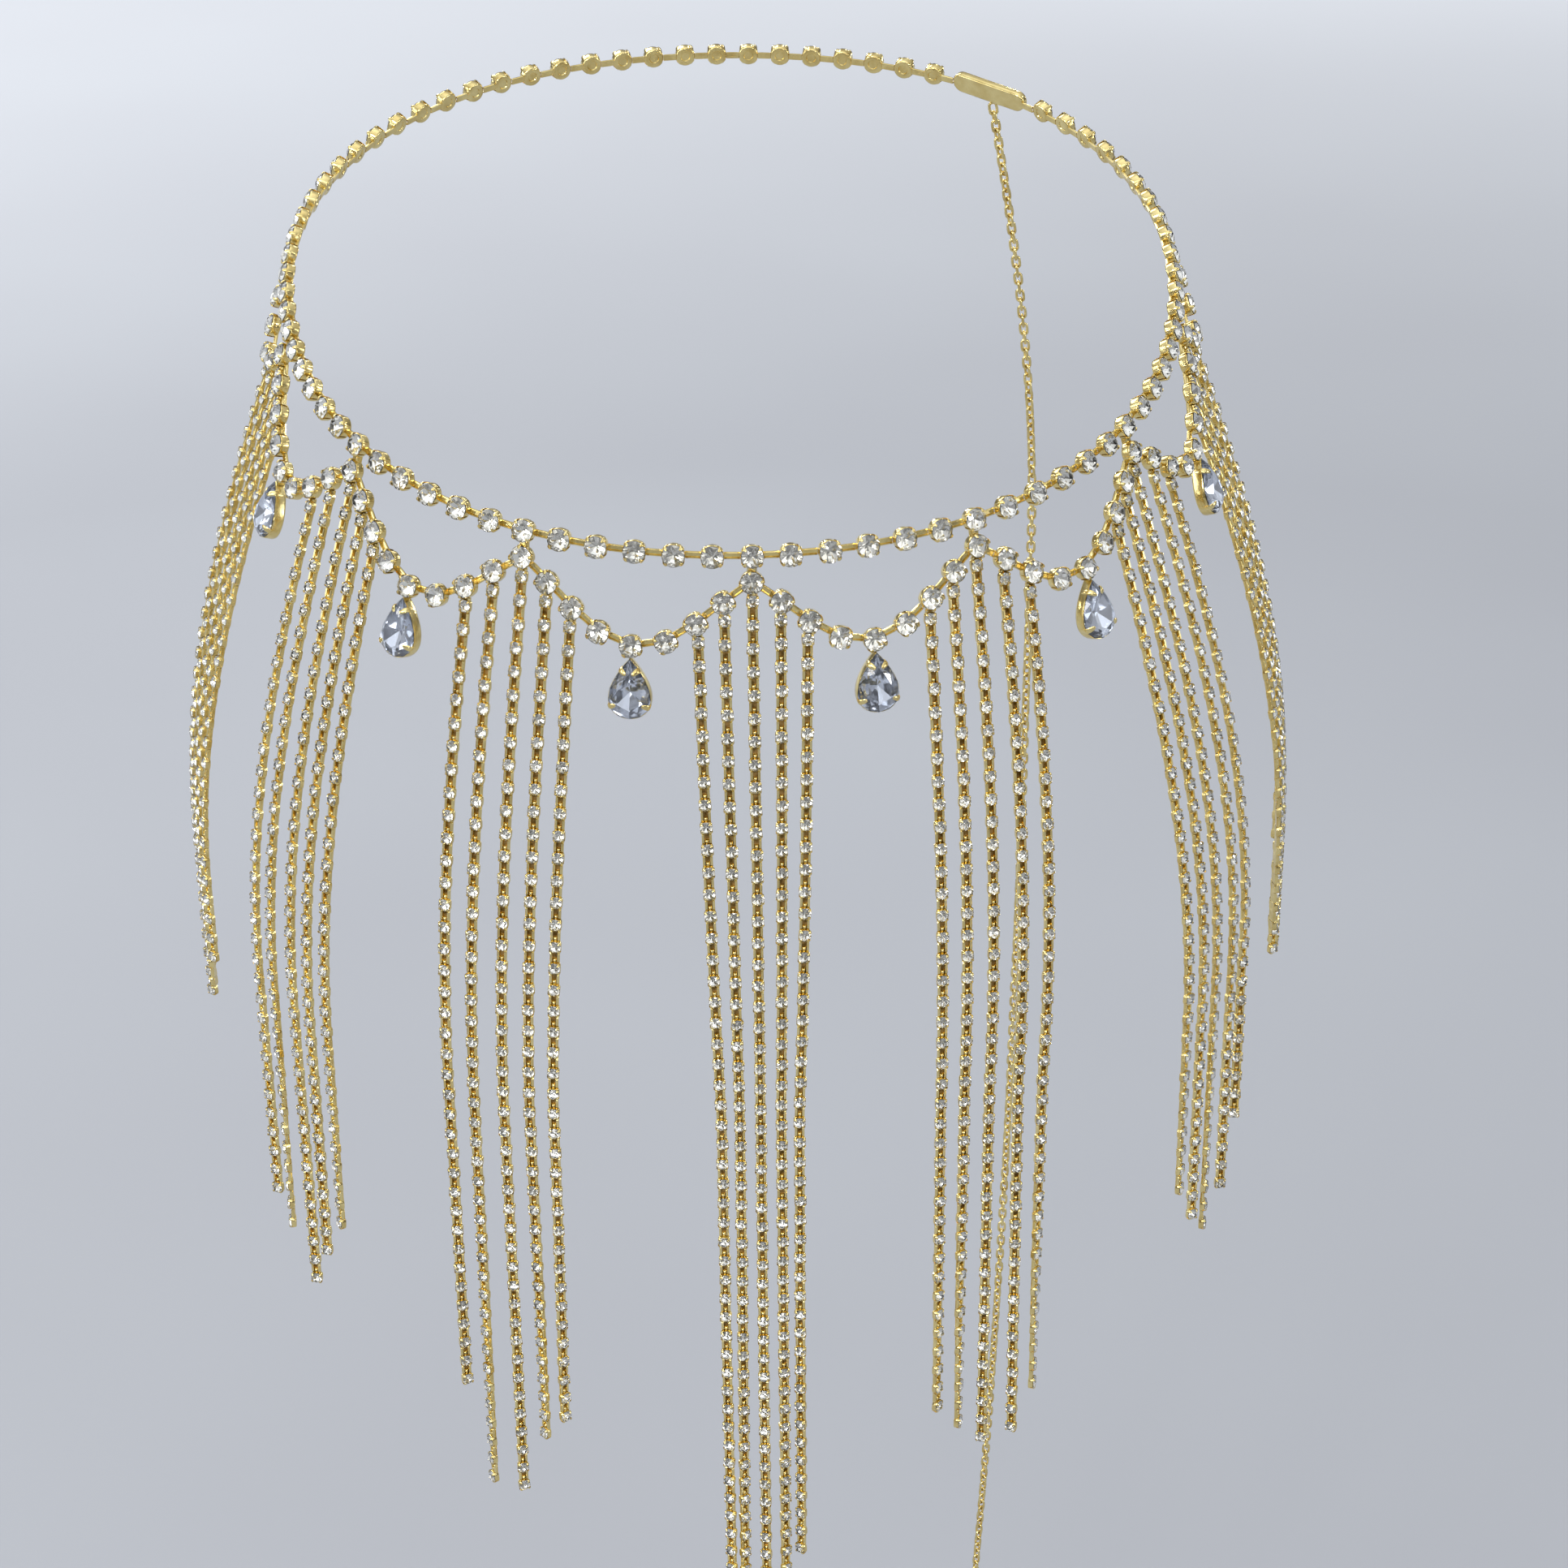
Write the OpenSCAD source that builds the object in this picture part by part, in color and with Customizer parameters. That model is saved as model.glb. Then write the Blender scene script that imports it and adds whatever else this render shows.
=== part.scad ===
// Waist chain: a belt of round stones in cups, a row of swags soldered beneath
// it that carries pear drops, and a fringe of fine stone chains, in the shape
// that it takes round the hips. +Z is up and the front faces -Y. The origin is
// the middle of the belt loop.

/* [Waist] */
// Half the width of the belt loop, from its middle to the side
waist_half_width = 115; // [108:1:122]
// Depth of the loop from its middle to the front
waist_front = 124; // [116:1:132]
// Depth of the loop from its middle to the back
waist_back = 106; // [98:1:114]
// Share by which the loop is fuller than an oval at its quarter points
waist_fullness = 0.025; // [0:0.005:0.05]
// Drop of the belt towards the front, for each millimetre of depth
belt_slope = 0.28; // [0.2:0.01:0.34]
// How far the hips stand out beyond the belt at the sides
hip_side = 36; // [28:1:44]
// How far the hips stand out beyond the belt in front
hip_front = 12; // [8:1:18]
// Drop from the belt to the widest part of the hips
hip_drop = 145; // [125:5:165]

/* [Large chain] */
// Distance from one belt stone to the next
belt_pitch = 9.1; // [8.9:0.1:9.3]
// Outside diameter of a round cup
cup_d = 5.8; // [5.2:0.1:6.2]
// Height of a cup from its back to its rim
cup_h = 2.8; // [2.4:0.1:3.4]
// Diameter of a round stone
stone_d = 5.2; // [4.4:0.1:5.4]
// Depth that a round stone sits into its cup
stone_seat = 0.3; // [0.2:0.1:0.6]
// Rise of a round stone above its rim
stone_rise = 0.9; // [0.6:0.1:1.4]
// Width of a stone's table, as a share of the stone
table_share = 0.6; // [0.5:0.05:0.7]
// Width of the flat bar between two cups
bar_w = 1.2; // [1:0.1:1.6]
// Thickness of that bar
bar_t = 0.8; // [0.6:0.1:1.2]
// Thickness of a prong
prong_d = 0.9; // [0.7:0.1:1.1]
// Rise of a prong above its rim
prong_rise = 0.6; // [0.4:0.1:0.8]
// Overlap of soldered pieces
solder = 0.3; // [0.2:0.1:0.5]
// Gap between a link and what it meets
link_gap = 0.2; // [0.15:0.05:0.3]

/* [Swags] */
// Belt steps from one station to the next
station_steps = 6; // [5:1:6]
// Distance from a station's belt cup to the cup soldered beneath it
station_drop = 6.2; // [6:0.1:7]
// Sag of a swag below its stations
swag_sag = 16.5; // [14:0.5:19]
// Steps of chain in one swag
swag_steps = 8; // [8:2:8]
// Belt steps under the short swag at each end of the row
end_belt_steps = 3; // [3:1:4]
// Sag of that short swag
end_sag = 8.4; // [7:0.2:10]
// Steps of chain in that short swag
end_swag_steps = 4; // [4:1:4]

/* [Pear drops] */
// Width of a pear stone
pear_w = 9; // [8:0.5:10]
// Length of a pear stone
pear_l = 13.5; // [12:0.5:15]
// Thickness of the setting's wall
pear_wall = 0.6; // [0.5:0.1:0.8]
// Height of the setting from its back to its rim
pear_h = 3.2; // [2.8:0.1:4]
// Depth that the stone sits into the setting
pear_seat = 1.6; // [1.2:0.1:2]
// Rise of the stone above the setting's rim
pear_rise = 1.8; // [1.4:0.1:2.4]
// Rise of the setting's prongs above its rim
pear_prong_rise = 1; // [0.6:0.1:1.4]
// Gap between a pear stone and its setting
stone_gap = 0.15; // [0.1:0.05:0.2]

/* [Fringe] */
// Gap between a cup or the clasp and the chain that hangs from it
hang_gap = 0.3; // [0.2:0.05:0.5]
// Width of a fringe chain
strand_w = 3.1; // [2.6:0.1:3.4]
// Thickness of a fringe chain
strand_t = 2; // [1.6:0.1:2.4]
// Distance from one fringe stone to the next
strand_pitch = 5.8; // [5.4:0.1:6]
// How far a free end wanders sideways
strand_sway = 0.5; // [0:0.1:0.8]
// How far a whole group of chains may move sideways by the widest hips
strand_lean = 4; // [0:0.5:6]
// Share by which the chains of the front group draw together on their way down
front_gather_share = 0.32; // [0:0.02:0.36]
// The same share for the other groups
side_gather_share = 0.14; // [0:0.02:0.3]

/* [Clasp and tail] */
// Belt steps from the front to the clasp's middle
clasp_steps = 32; // [30:1:36]
// Width of the tail chain
tail_w = 3; // [2.4:0.1:3.4]
// Length of the tail chain
tail_l = 580; // [540:10:600]
// How far the tail's free end wanders towards the middle
tail_sway = 10; // [0:1:14]

/* [Hidden] */
gold = "#c9a24a";
crystal = "#eef2f6";
smoke = "#9aa4ba";

// Stones in the five fringe chains of each station, from left to right.
// Stations run from -3 on the left, through 0 in front, to 3 on the right.
STONES = [[28, 30, 32, 30, 27], [34, 36, 39, 36, 33], [38, 44, 45, 41, 39], [47, 50, 52, 50, 46],
          [39, 41, 43, 42, 39], [33, 36, 38, 36, 32], [27, 30, 31, 30, 26]];
// Share of strand_lean by which each station's chains move towards +X
LEANS = [0, 0.2, -0.4, 0, -0.9, 0.5, 0];
last_station = (len(STONES) - 1) / 2;

// The hips. a is the angle from the front, positive towards +X, and d is the
// drop below the belt.
function depth(a) = cos(a) > 0 ? waist_front : waist_back;
function reach(a) = hip_front + (hip_side - hip_front) * (1 - pow(abs(cos(a)), 4));
function bulge(a, d) = reach(a) * (d < hip_drop ? sin(90 * d / hip_drop) : 1);
function fuller(a) = 1 + waist_fullness * pow(sin(2 * a), 2);
function skin(a, d) = [sin(a) * (waist_half_width * fuller(a) + bulge(a, d)),
                       -cos(a) * (depth(a) * fuller(a) + bulge(a, d)),
                       -cos(a) * depth(a) * fuller(a) * belt_slope - d];
function unit(v) = v / norm(v);
function down(a, d) = unit(skin(a, d + 0.5) - skin(a, d - 0.5));
function outward(a, d) = unit(cross(down(a, d), skin(a + 0.5, d) - skin(a - 0.5, d)));

// The running length at each point of a list, and the list of [length, value]
// by which a value is looked up at a length.
function runs(p) = [for (i = 0, s = 0; i < len(p);
                         s = s + (i + 1 < len(p) ? norm(p[i + 1] - p[i]) : 0), i = i + 1) s];
function table(p, v) = let (r = runs(p)) [for (i = [0:len(p) - 1]) [r[i], v[i]]];
function full(t) = t[len(t) - 1][0];

// The angle of place k on the belt, counted from the front. Half the loop has
// the whole number of steps that comes nearest to the pitch.
half_turn = [for (a = [0:2:180]) a];
belt_table = table([for (a = half_turn) skin(a, 0)], half_turn);
half_steps = round(full(belt_table) / belt_pitch);
function belt_angle(k) = sign(k) * lookup(abs(k) * full(belt_table) / half_steps, belt_table);

// A swag from place k0 to place k1. q runs from -1 to 1 along it, and the drop
// is the mean of a parabola and a cosine. A spot is [angle, drop].
shares = [for (i = [-20:20]) i / 20];
function swag_spot(k0, k1, sag, q) =
    [belt_angle(k0) + (belt_angle(k1) - belt_angle(k0)) * (q + 1) / 2,
     station_drop + sag * (1 - q * q + (1 + cos(180 * q)) / 2) / 2];
function swag_table(k0, k1, sag) =
    table([for (q = shares) let (s = swag_spot(k0, k1, sag, q)) skin(s.x, s.y)], shares);
function swag_spots(k0, k1, sag, steps) =
    let (t = swag_table(k0, k1, sag))
    [for (j = [0:steps]) swag_spot(k0, k1, sag, lookup(j * full(t) / steps, t))];

// The row's swags from left to right: [first place, last place, sag, steps].
row_end = last_station * station_steps;
SWAGS = concat([[-row_end - end_belt_steps, -row_end, end_sag, end_swag_steps]],
               [for (s = [-last_station:last_station - 1])
                   [s * station_steps, (s + 1) * station_steps, swag_sag, swag_steps]],
               [[row_end, row_end + end_belt_steps, end_sag, end_swag_steps]]);
ROW = [for (w = SWAGS) swag_spots(w[0], w[1], w[2], w[3])];
middle = swag_steps / 2;

// The spot of the swag cup that chain k of station s hangs from, k from -2 to 2.
function hang_spot(s, k) =
    k >= 0 ? ROW[s + last_station + 1][k]
           : let (w = ROW[s + last_station]) w[len(w) - 1 + k];

// Frames: a frame's X runs towards the next link and its Z points outward.
module place(p, x_to, out) {
    x = unit(x_to);
    z = unit(out - (out * x) * x);
    y = cross(z, x);
    multmatrix([[x.x, y.x, z.x, p.x], [x.y, y.y, z.y, p.y],
                [x.z, y.z, z.z, p.z], [0, 0, 0, 1]]) children();
}

// A round cup with its stone, four prongs and the bar towards the next cup. A
// step of 0 makes no bar.
module round_link(step) {
    color(gold) {
        cylinder(h = cup_h, d = cup_d, $fn = 24);
        for (i = [0:3]) rotate(45 + 90 * i)
            translate([cup_d / 2 - prong_d / 2, -prong_d / 2, cup_h / 2])
                cube([prong_d * 0.6, prong_d, cup_h / 2 + prong_rise]);
        if (step > 0)
            translate([0, -bar_w / 2, 0])
                cube([step - cup_d / 2 - link_gap, bar_w, bar_t]);
    }
    color(crystal) translate([0, 0, cup_h - stone_seat])
        cylinder(h = stone_rise + stone_seat, d1 = stone_d, d2 = stone_d * table_share, $fn = 8);
}

// The belt link at place k.
module belt_link(k) {
    p = skin(belt_angle(k), 0);
    q = skin(belt_angle(k + 1), 0);
    place(p, q - p, outward(belt_angle(k), 0)) round_link(norm(q - p));
}

// Link j of a swag's list of spots.
module swag_link(spots, j) {
    s = spots[j];
    p = skin(s.x, s.y);
    last = j == len(spots) - 1;
    e = last ? spots[j - 1] : spots[j + 1];
    q = skin(e.x, e.y);
    place(p, last ? p - q : q - p, outward(s.x, s.y)) round_link(last ? 0 : norm(q - p));
}

// The solder between a belt cup and the cup beneath it.
module station_solder(k) {
    a = belt_angle(k);
    p = skin(a, 0);
    q = skin(a, station_drop);
    color(gold) place(p, q - p, outward(a, 0))
        translate([0, -bar_w, 0]) cube([norm(q - p), 2 * bar_w, cup_h * 0.6]);
}

// Places that the clasp takes, and the places past the last cup of each end.
clasp_from = clasp_steps - 1;
clasp_to = clasp_steps + 1;

module belt_chain() {
    for (k = [-half_steps:half_steps - 1])
        if (k < clasp_from || k > clasp_to) belt_link(k);
    for (i = [1:len(SWAGS) - 1]) {
        station_solder(SWAGS[i][0]);
        swag_link(ROW[i], 0);
    }
    station_solder(SWAGS[0][0]);
    swag_link(ROW[0], 0);
    station_solder(SWAGS[len(SWAGS) - 1][1]);
    swag_link(ROW[len(ROW) - 1], end_swag_steps);
}

module swag_row()
    for (i = [0:len(ROW) - 1], j = [1:len(ROW[i]) - 2])
        if (len(ROW[i]) - 1 != swag_steps || j != middle) swag_link(ROW[i], j);

// The pear's outline, point up, and shapes made on it. grow moves it outward.
function pear_point(t, grow) =
    [(pear_w / 2 + grow) * sin(t) * sin(t / 2) / 0.77, (pear_l / 2 + grow) * cos(t)];
function pear_outline(sides, grow) = [for (i = [0:sides - 1]) pear_point(360 * i / sides, grow)];

// How far the setting's rim stands out from the stone, and where a drop's pear
// sits below its swag cup, as a frame with Y up the hips.
pear_rim = stone_gap + pear_wall;
pear_hang = cup_d / 2 + pear_l / 2 + pear_rim - solder;
module hang_pear(i) {
    s = ROW[i][middle];
    p = skin(s.x, s.y);
    y = -down(s.x, s.y);
    z = outward(s.x, s.y);
    place(p - y * pear_hang, cross(y, z), z) children();
}

// The setting: an open cup of the pear's outline with four prongs.
module pear_setting() color(gold) {
    difference() {
        linear_extrude(pear_h) polygon(pear_outline(24, pear_rim));
        translate([0, 0, pear_h - pear_seat - stone_gap])
            linear_extrude(2 * pear_seat) polygon(pear_outline(24, stone_gap));
    }
    for (t = [52, 122, 238, 308]) {
        c = pear_point(t, pear_rim);
        translate([c.x, c.y, pear_h / 2])
            cylinder(h = pear_h / 2 + pear_prong_rise, d = prong_d, $fn = 8);
    }
}

// The cut pear: a flat back, a girdle, and a crown of facets up to its table.
module pear_stone() {
    sides = 16;
    rings = [[0.8, 0], [1, pear_seat * 0.7], [1, pear_seat], [0.78, pear_seat + pear_rise * 0.7],
             [0.5, pear_seat + pear_rise]];
    last = len(rings) - 1;
    color(smoke) translate([0, 0, pear_h - pear_seat])
        polyhedron(
            points = [for (r = rings, c = pear_outline(sides, 0)) [c.x * r[0], c.y * r[0], r[1]]],
            faces = concat(
                [[for (i = [0:sides - 1]) i]],
                [for (r = [0:last - 1], i = [0:sides - 1])
                    let (n = (i + 1) % sides, b = r * sides)
                    each [[b + i, b + sides + i, b + n], [b + n, b + sides + i, b + sides + n]]],
                [[for (i = [sides - 1:-1:0]) last * sides + i]]));
}

module drop(i) {
    swag_link(ROW[i], middle);
    hang_pear(i) pear_setting();
}

module pear(i) hang_pear(i) pear_stone();

// A flat tube with eight sides through points p, with outward directions n.
module tube(p, n, w, t) {
    last = len(p) - 1;
    points = [for (i = [0:last])
        let (g = unit(p[min(i + 1, last)] - p[max(i - 1, 0)]), x = unit(cross(g, n[i])), z = cross(x, g))
        for (j = [0:7]) p[i] + x * cos(45 * j + 22.5) * w / 2 / cos(22.5)
                             + z * sin(45 * j + 22.5) * t / 2 / cos(22.5)];
    polyhedron(points, concat(
        [[for (j = [7:-1:0]) j]],
        [for (i = [0:last - 1], j = [0:7])
            let (m = (j + 1) % 8, b = 8 * i)
            each [[b + j, b + m, b + 8 + j], [b + m, b + 8 + m, b + 8 + j]]],
        [[for (j = [0:7]) 8 * last + j]]));
}

// The angle of fringe chain k of station s at drop d. It starts under its cup,
// draws towards its station and leans with its group down to the widest hips,
// and wanders a little sideways on the way to its free end at drop l.
function gather(s) = s == 0 ? front_gather_share : side_gather_share;
function turn(x) = x / waist_half_width * 180 / PI;
function chain_angle(s, k, d, l) =
    let (a0 = belt_angle(s * station_steps), a = hang_spot(s, k).x, by_hips = min(1, d / hip_drop))
    a0 + (a - a0) * (1 - gather(s) * by_hips)
       + turn(strand_lean) * LEANS[s + last_station] * by_hips
       + turn(strand_sway) * sin(137 * (5 * s + k)) * pow(d / l, 2);

// A fringe chain: rings at even drops down to the widest hips, then three more
// to its free end, which is found from its length along the hips.
module fringe_strand(s, k) {
    d0 = hang_spot(s, k).y + cup_d / 2 + hang_gap;
    l = STONES[s + last_station][k + 2] * strand_pitch;
    fine = [for (i = [0:30]) d0 + l * i / 30];
    path = table([for (d = fine) skin(chain_angle(s, k, d, l), d)], fine);
    d_end = lookup(l - cup_d / 2 - hang_gap, path);
    spots = [for (d = concat([for (i = [0:7]) d0 + (hip_drop - d0) * i / 8],
                             [for (i = [0:3]) hip_drop + (d_end - hip_drop) * i / 3]))
                [chain_angle(s, k, d, l), d]];
    color(gold)
        tube([for (c = spots) skin(c.x, c.y) + outward(c.x, c.y) * strand_t / 2],
             [for (c = spots) outward(c.x, c.y)], strand_w, strand_t);
}

// The clasp closes the belt at the back: one plain oval, with a bar towards the
// next cup.
module clasp() {
    p = skin(belt_angle(clasp_from), 0);
    q = skin(belt_angle(clasp_to), 0);
    r = skin(belt_angle(clasp_to + 1), 0);
    n = outward(belt_angle(clasp_steps), 0);
    color(gold) {
        place(p, q - p, n) {
            cylinder(h = cup_h, d = cup_d, $fn = 32);
            translate([norm(q - p), 0, 0]) cylinder(h = cup_h, d = cup_d, $fn = 32);
            translate([0, -cup_d / 2, 0]) cube([norm(q - p), cup_d, cup_h]);
        }
        place(q, r - q, outward(belt_angle(clasp_to), 0))
            translate([0, -bar_w / 2, 0])
                cube([norm(r - q) - cup_d / 2 - link_gap, bar_w, bar_t]);
    }
}

module tail_chain() {
    a = belt_angle(clasp_steps);
    d0 = cup_d / 2 + hang_gap;
    spots = [for (d = concat([for (i = [0:9]) d0 + (hip_drop - d0) * i / 10],
                             [for (i = [0:6]) hip_drop + (tail_l - hip_drop) * i / 6]))
                [a + turn(tail_sway) * pow(d / tail_l, 3), d]];
    color(gold)
        tube([for (c = spots) skin(c.x, c.y) + outward(c.x, c.y) * strand_t / 2],
             [for (c = spots) outward(c.x, c.y)], tail_w, strand_t);
}

belt_chain();
swag_row();
clasp();
tail_chain();
drop(1);  // drop_1
drop(2);  // drop_2
drop(3);  // drop_3
drop(4);  // drop_4
drop(5);  // drop_5
drop(6);  // drop_6
pear(1);  // pear_1
pear(2);  // pear_2
pear(3);  // pear_3
pear(4);  // pear_4
pear(5);  // pear_5
pear(6);  // pear_6
fringe_strand(-3, -2);  // strand_01
fringe_strand(-3, -1);  // strand_02
fringe_strand(-3, 0);  // strand_03
fringe_strand(-3, 1);  // strand_04
fringe_strand(-3, 2);  // strand_05
fringe_strand(-2, -2);  // strand_06
fringe_strand(-2, -1);  // strand_07
fringe_strand(-2, 0);  // strand_08
fringe_strand(-2, 1);  // strand_09
fringe_strand(-2, 2);  // strand_10
fringe_strand(-1, -2);  // strand_11
fringe_strand(-1, -1);  // strand_12
fringe_strand(-1, 0);  // strand_13
fringe_strand(-1, 1);  // strand_14
fringe_strand(-1, 2);  // strand_15
fringe_strand(0, -2);  // strand_16
fringe_strand(0, -1);  // strand_17
fringe_strand(0, 0);  // strand_18
fringe_strand(0, 1);  // strand_19
fringe_strand(0, 2);  // strand_20
fringe_strand(1, -2);  // strand_21
fringe_strand(1, -1);  // strand_22
fringe_strand(1, 0);  // strand_23
fringe_strand(1, 1);  // strand_24
fringe_strand(1, 2);  // strand_25
fringe_strand(2, -2);  // strand_26
fringe_strand(2, -1);  // strand_27
fringe_strand(2, 0);  // strand_28
fringe_strand(2, 1);  // strand_29
fringe_strand(2, 2);  // strand_30
fringe_strand(3, -2);  // strand_31
fringe_strand(3, -1);  // strand_32
fringe_strand(3, 0);  // strand_33
fringe_strand(3, 1);  // strand_34
fringe_strand(3, 2);  // strand_35
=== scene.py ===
"""Looks of the waist chain, set on the same surface and by the same formulas as its solids.

Sizes of the chain are in millimetres, as in the solids' source, and turn into
metres where a mesh is made. The floor, the lamps and the camera are in metres.
"""
import math

import bpy
import numpy as np
from mathutils import Matrix, Vector


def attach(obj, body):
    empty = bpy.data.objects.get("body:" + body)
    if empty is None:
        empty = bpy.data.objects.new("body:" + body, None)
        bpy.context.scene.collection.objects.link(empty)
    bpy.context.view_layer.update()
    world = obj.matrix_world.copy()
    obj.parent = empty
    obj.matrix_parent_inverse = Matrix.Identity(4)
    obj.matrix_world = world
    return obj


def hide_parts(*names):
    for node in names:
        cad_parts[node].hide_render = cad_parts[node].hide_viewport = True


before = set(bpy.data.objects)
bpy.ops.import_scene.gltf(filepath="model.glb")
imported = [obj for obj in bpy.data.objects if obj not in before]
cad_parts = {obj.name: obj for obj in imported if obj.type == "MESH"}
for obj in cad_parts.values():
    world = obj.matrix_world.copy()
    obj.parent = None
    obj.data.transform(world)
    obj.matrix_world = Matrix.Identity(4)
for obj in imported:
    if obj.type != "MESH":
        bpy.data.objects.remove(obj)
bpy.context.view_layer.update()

# The waist and the hips
WAIST_HALF_WIDTH = 115  # from the middle of the belt loop to its side
WAIST_FRONT = 124  # from the middle of the loop to its front
WAIST_BACK = 106  # from the middle of the loop to its back
WAIST_FULLNESS = 0.025  # share by which the loop is fuller than an oval at its quarter points
BELT_SLOPE = 0.28  # drop of the belt towards the front, for each millimetre of depth
HIP_SIDE = 36  # how far the hips stand out beyond the belt at the sides
HIP_FRONT = 12  # how far they stand out in front
HIP_DROP = 145  # from the belt down to the widest part of the hips

# The large chain of belt and swags
BELT_PITCH = 9.1  # from one belt stone to the next
CUP_D = 5.8
CUP_H = 2.8  # from a cup's back to its rim
STONE_RISE = 0.9  # of a round stone above the rim
BAR_INSET = 2.7  # from a cup's middle to the end of a bar
STATION_STEPS = 6  # belt steps from one station to the next
STATION_DROP = 6.2  # from a station's belt cup to the cup soldered beneath it
SOLDER_INSET = 1.5  # from the middle of each of those cups to the solder between them
SWAG_SAG = 16.5
SWAG_STEPS = 8  # steps of chain in one swag
END_BELT_STEPS = 3  # belt steps under the short swag at each end of the row
END_SAG = 8.4
END_SWAG_STEPS = 4

# The pear drops
PEAR_W = 9
PEAR_L = 13.5
PEAR_WALL = 0.6
PEAR_H = 3.2  # from a setting's back to its rim
PEAR_RISE = 1.8  # of a pear stone above the rim
STONE_GAP = 0.15  # between a pear stone and its setting
SOLDER = 0.3  # overlap of soldered pieces

# The fringe
HANG_GAP = 0.3  # between a cup or the clasp and the chain that hangs from it
STRAND_T = 2  # thickness of a fringe chain
STRAND_PITCH = 5.8  # from one fringe stone to the next
STRAND_SWAY = 0.5  # how far a free end wanders sideways
STRAND_LEAN = 4  # how far a group of chains may move sideways by the widest hips
FRONT_GATHER = 0.32  # share by which the front group draws together on its way down
SIDE_GATHER = 0.14  # the same share for the other groups
HALF_SMALL_CUP = 1.5
SMALL_BAR_INSET = 1.4  # from a small cup's middle to the end of a bar

# The clasp and the tail
CLASP_STEPS = 32  # belt steps from the front to the clasp's middle
TAIL_L = 580
TAIL_SWAY = 10  # how far the tail's free end wanders towards the middle
LINK_L = 4.6  # of a tail link
LINK_W = 3.0
LINK_WIRE = 0.85
LINK_PLAY = 0.1  # between the wires of two links
LINK_CROSS = 40  # how far each link is turned to its own side, in degrees
TAIL_TURN = 25  # how far the whole chain turns about itself, in degrees
TAIL_TURN_STEP = 0.21  # of that slow turn from link to link, in radians

# Stones in the five fringe chains of each station, from left to right. Stations
# run from -3 on the left, through 0 in front, to 3 on the right.
STONES = [[28, 30, 32, 30, 27], [34, 36, 39, 36, 33], [38, 44, 45, 41, 39], [47, 50, 52, 50, 46],
          [39, 41, 43, 42, 39], [33, 36, 38, 36, 32], [27, 30, 31, 30, 26]]
# Share of STRAND_LEAN by which each station's chains move towards +X
LEANS = [0, 0.2, -0.4, 0, -0.9, 0.5, 0]
# How far the free end of each of those chains turns about itself, in degrees
TWIST = [[20, -30, 35, -20, 30], [25, -35, 30, 30, -25], [40, -50, 30, -40, 45], [-30, 40, -25, 35, -40],
         [45, 65, -35, -45, 60], [20, -25, 30, -45, -70], [30, -40, 45, -50, 60]]
GROUPS = ["left_rear", "left_side", "left", "front", "right", "right_side", "right_rear"]
LAST_STATION = len(STONES) // 2
OUTER_CHAIN = 2  # the chains of a station are numbered from -2 to 2
TWIST_FROM = 0.6  # share of a chain's length above which it doesn't turn
HOOK_RISE = 0.1  # of a chain's first bar above the skin, at the cup that it hangs from

# How far links tilt by chance, as the spread in degrees
BELT_TILT = 1.2
SWAG_TILT = 1.6
STRAND_TILT = 2.5

X, Y, Z = 0, 1, 2
MM_PER_M = 1000
SHARP_EDGE = 50  # degrees between faces, beyond which an edge is sharp
rng = np.random.default_rng(7)


# The hips: a is the angle from the front in degrees, positive towards +X, and d
# is the drop below the belt.
def skin(a, d):
    """The point of the hips at angle a and drop d."""
    a = np.radians(np.asarray(a, float))
    d = np.asarray(d, float)
    c, s = np.cos(a), np.sin(a)
    depth = np.where(c > 0, WAIST_FRONT, WAIST_BACK)
    reach = HIP_FRONT + (HIP_SIDE - HIP_FRONT) * (1 - np.abs(c) ** 4)
    bulge = reach * np.where(d < HIP_DROP, np.sin(np.pi / 2 * d / HIP_DROP), 1.0)
    fuller = 1 + WAIST_FULLNESS * np.sin(2 * a) ** 2
    return np.stack([s * (WAIST_HALF_WIDTH * fuller + bulge),
                     -c * (depth * fuller + bulge),
                     -c * depth * fuller * BELT_SLOPE - d], -1)


def unit(v):
    return v / np.linalg.norm(v, axis=-1, keepdims=True)


def down(a, d):
    return unit(skin(a, d + 0.5) - skin(a, d - 0.5))


def outward(a, d):
    return unit(np.cross(down(a, d), skin(a + 0.5, d) - skin(a - 0.5, d)))


def runs(points):
    """How far along a line each of its points lies."""
    return np.concatenate([[0], np.cumsum(np.linalg.norm(np.diff(points, axis=0), axis=1))])


half_turn = np.arange(0, 181, 2.0)
belt_runs = runs(skin(half_turn, 0 * half_turn))
half_steps = round(belt_runs[-1] / BELT_PITCH)


def belt_angle(k):
    """The angle of the belt's place k, counted from the front."""
    return float(np.sign(k) * np.interp(abs(k) * belt_runs[-1] / half_steps, belt_runs, half_turn))


def swag_spots(first, last, sag, steps):
    """(angle, drop) of each cup of a swag between two places of the belt."""
    start, end = belt_angle(first), belt_angle(last)

    def spot(q):
        """A spot of the swag, for q from -1 to 1."""
        return (start + (end - start) * (q + 1) / 2,
                STATION_DROP + sag * (1 - q * q + (1 + np.cos(np.pi * q)) / 2) / 2)

    shares = np.arange(-20, 21) / 20
    run = runs(skin(*spot(shares)))
    return [spot(np.interp(j * run[-1] / steps, run, shares)) for j in range(steps + 1)]


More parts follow.
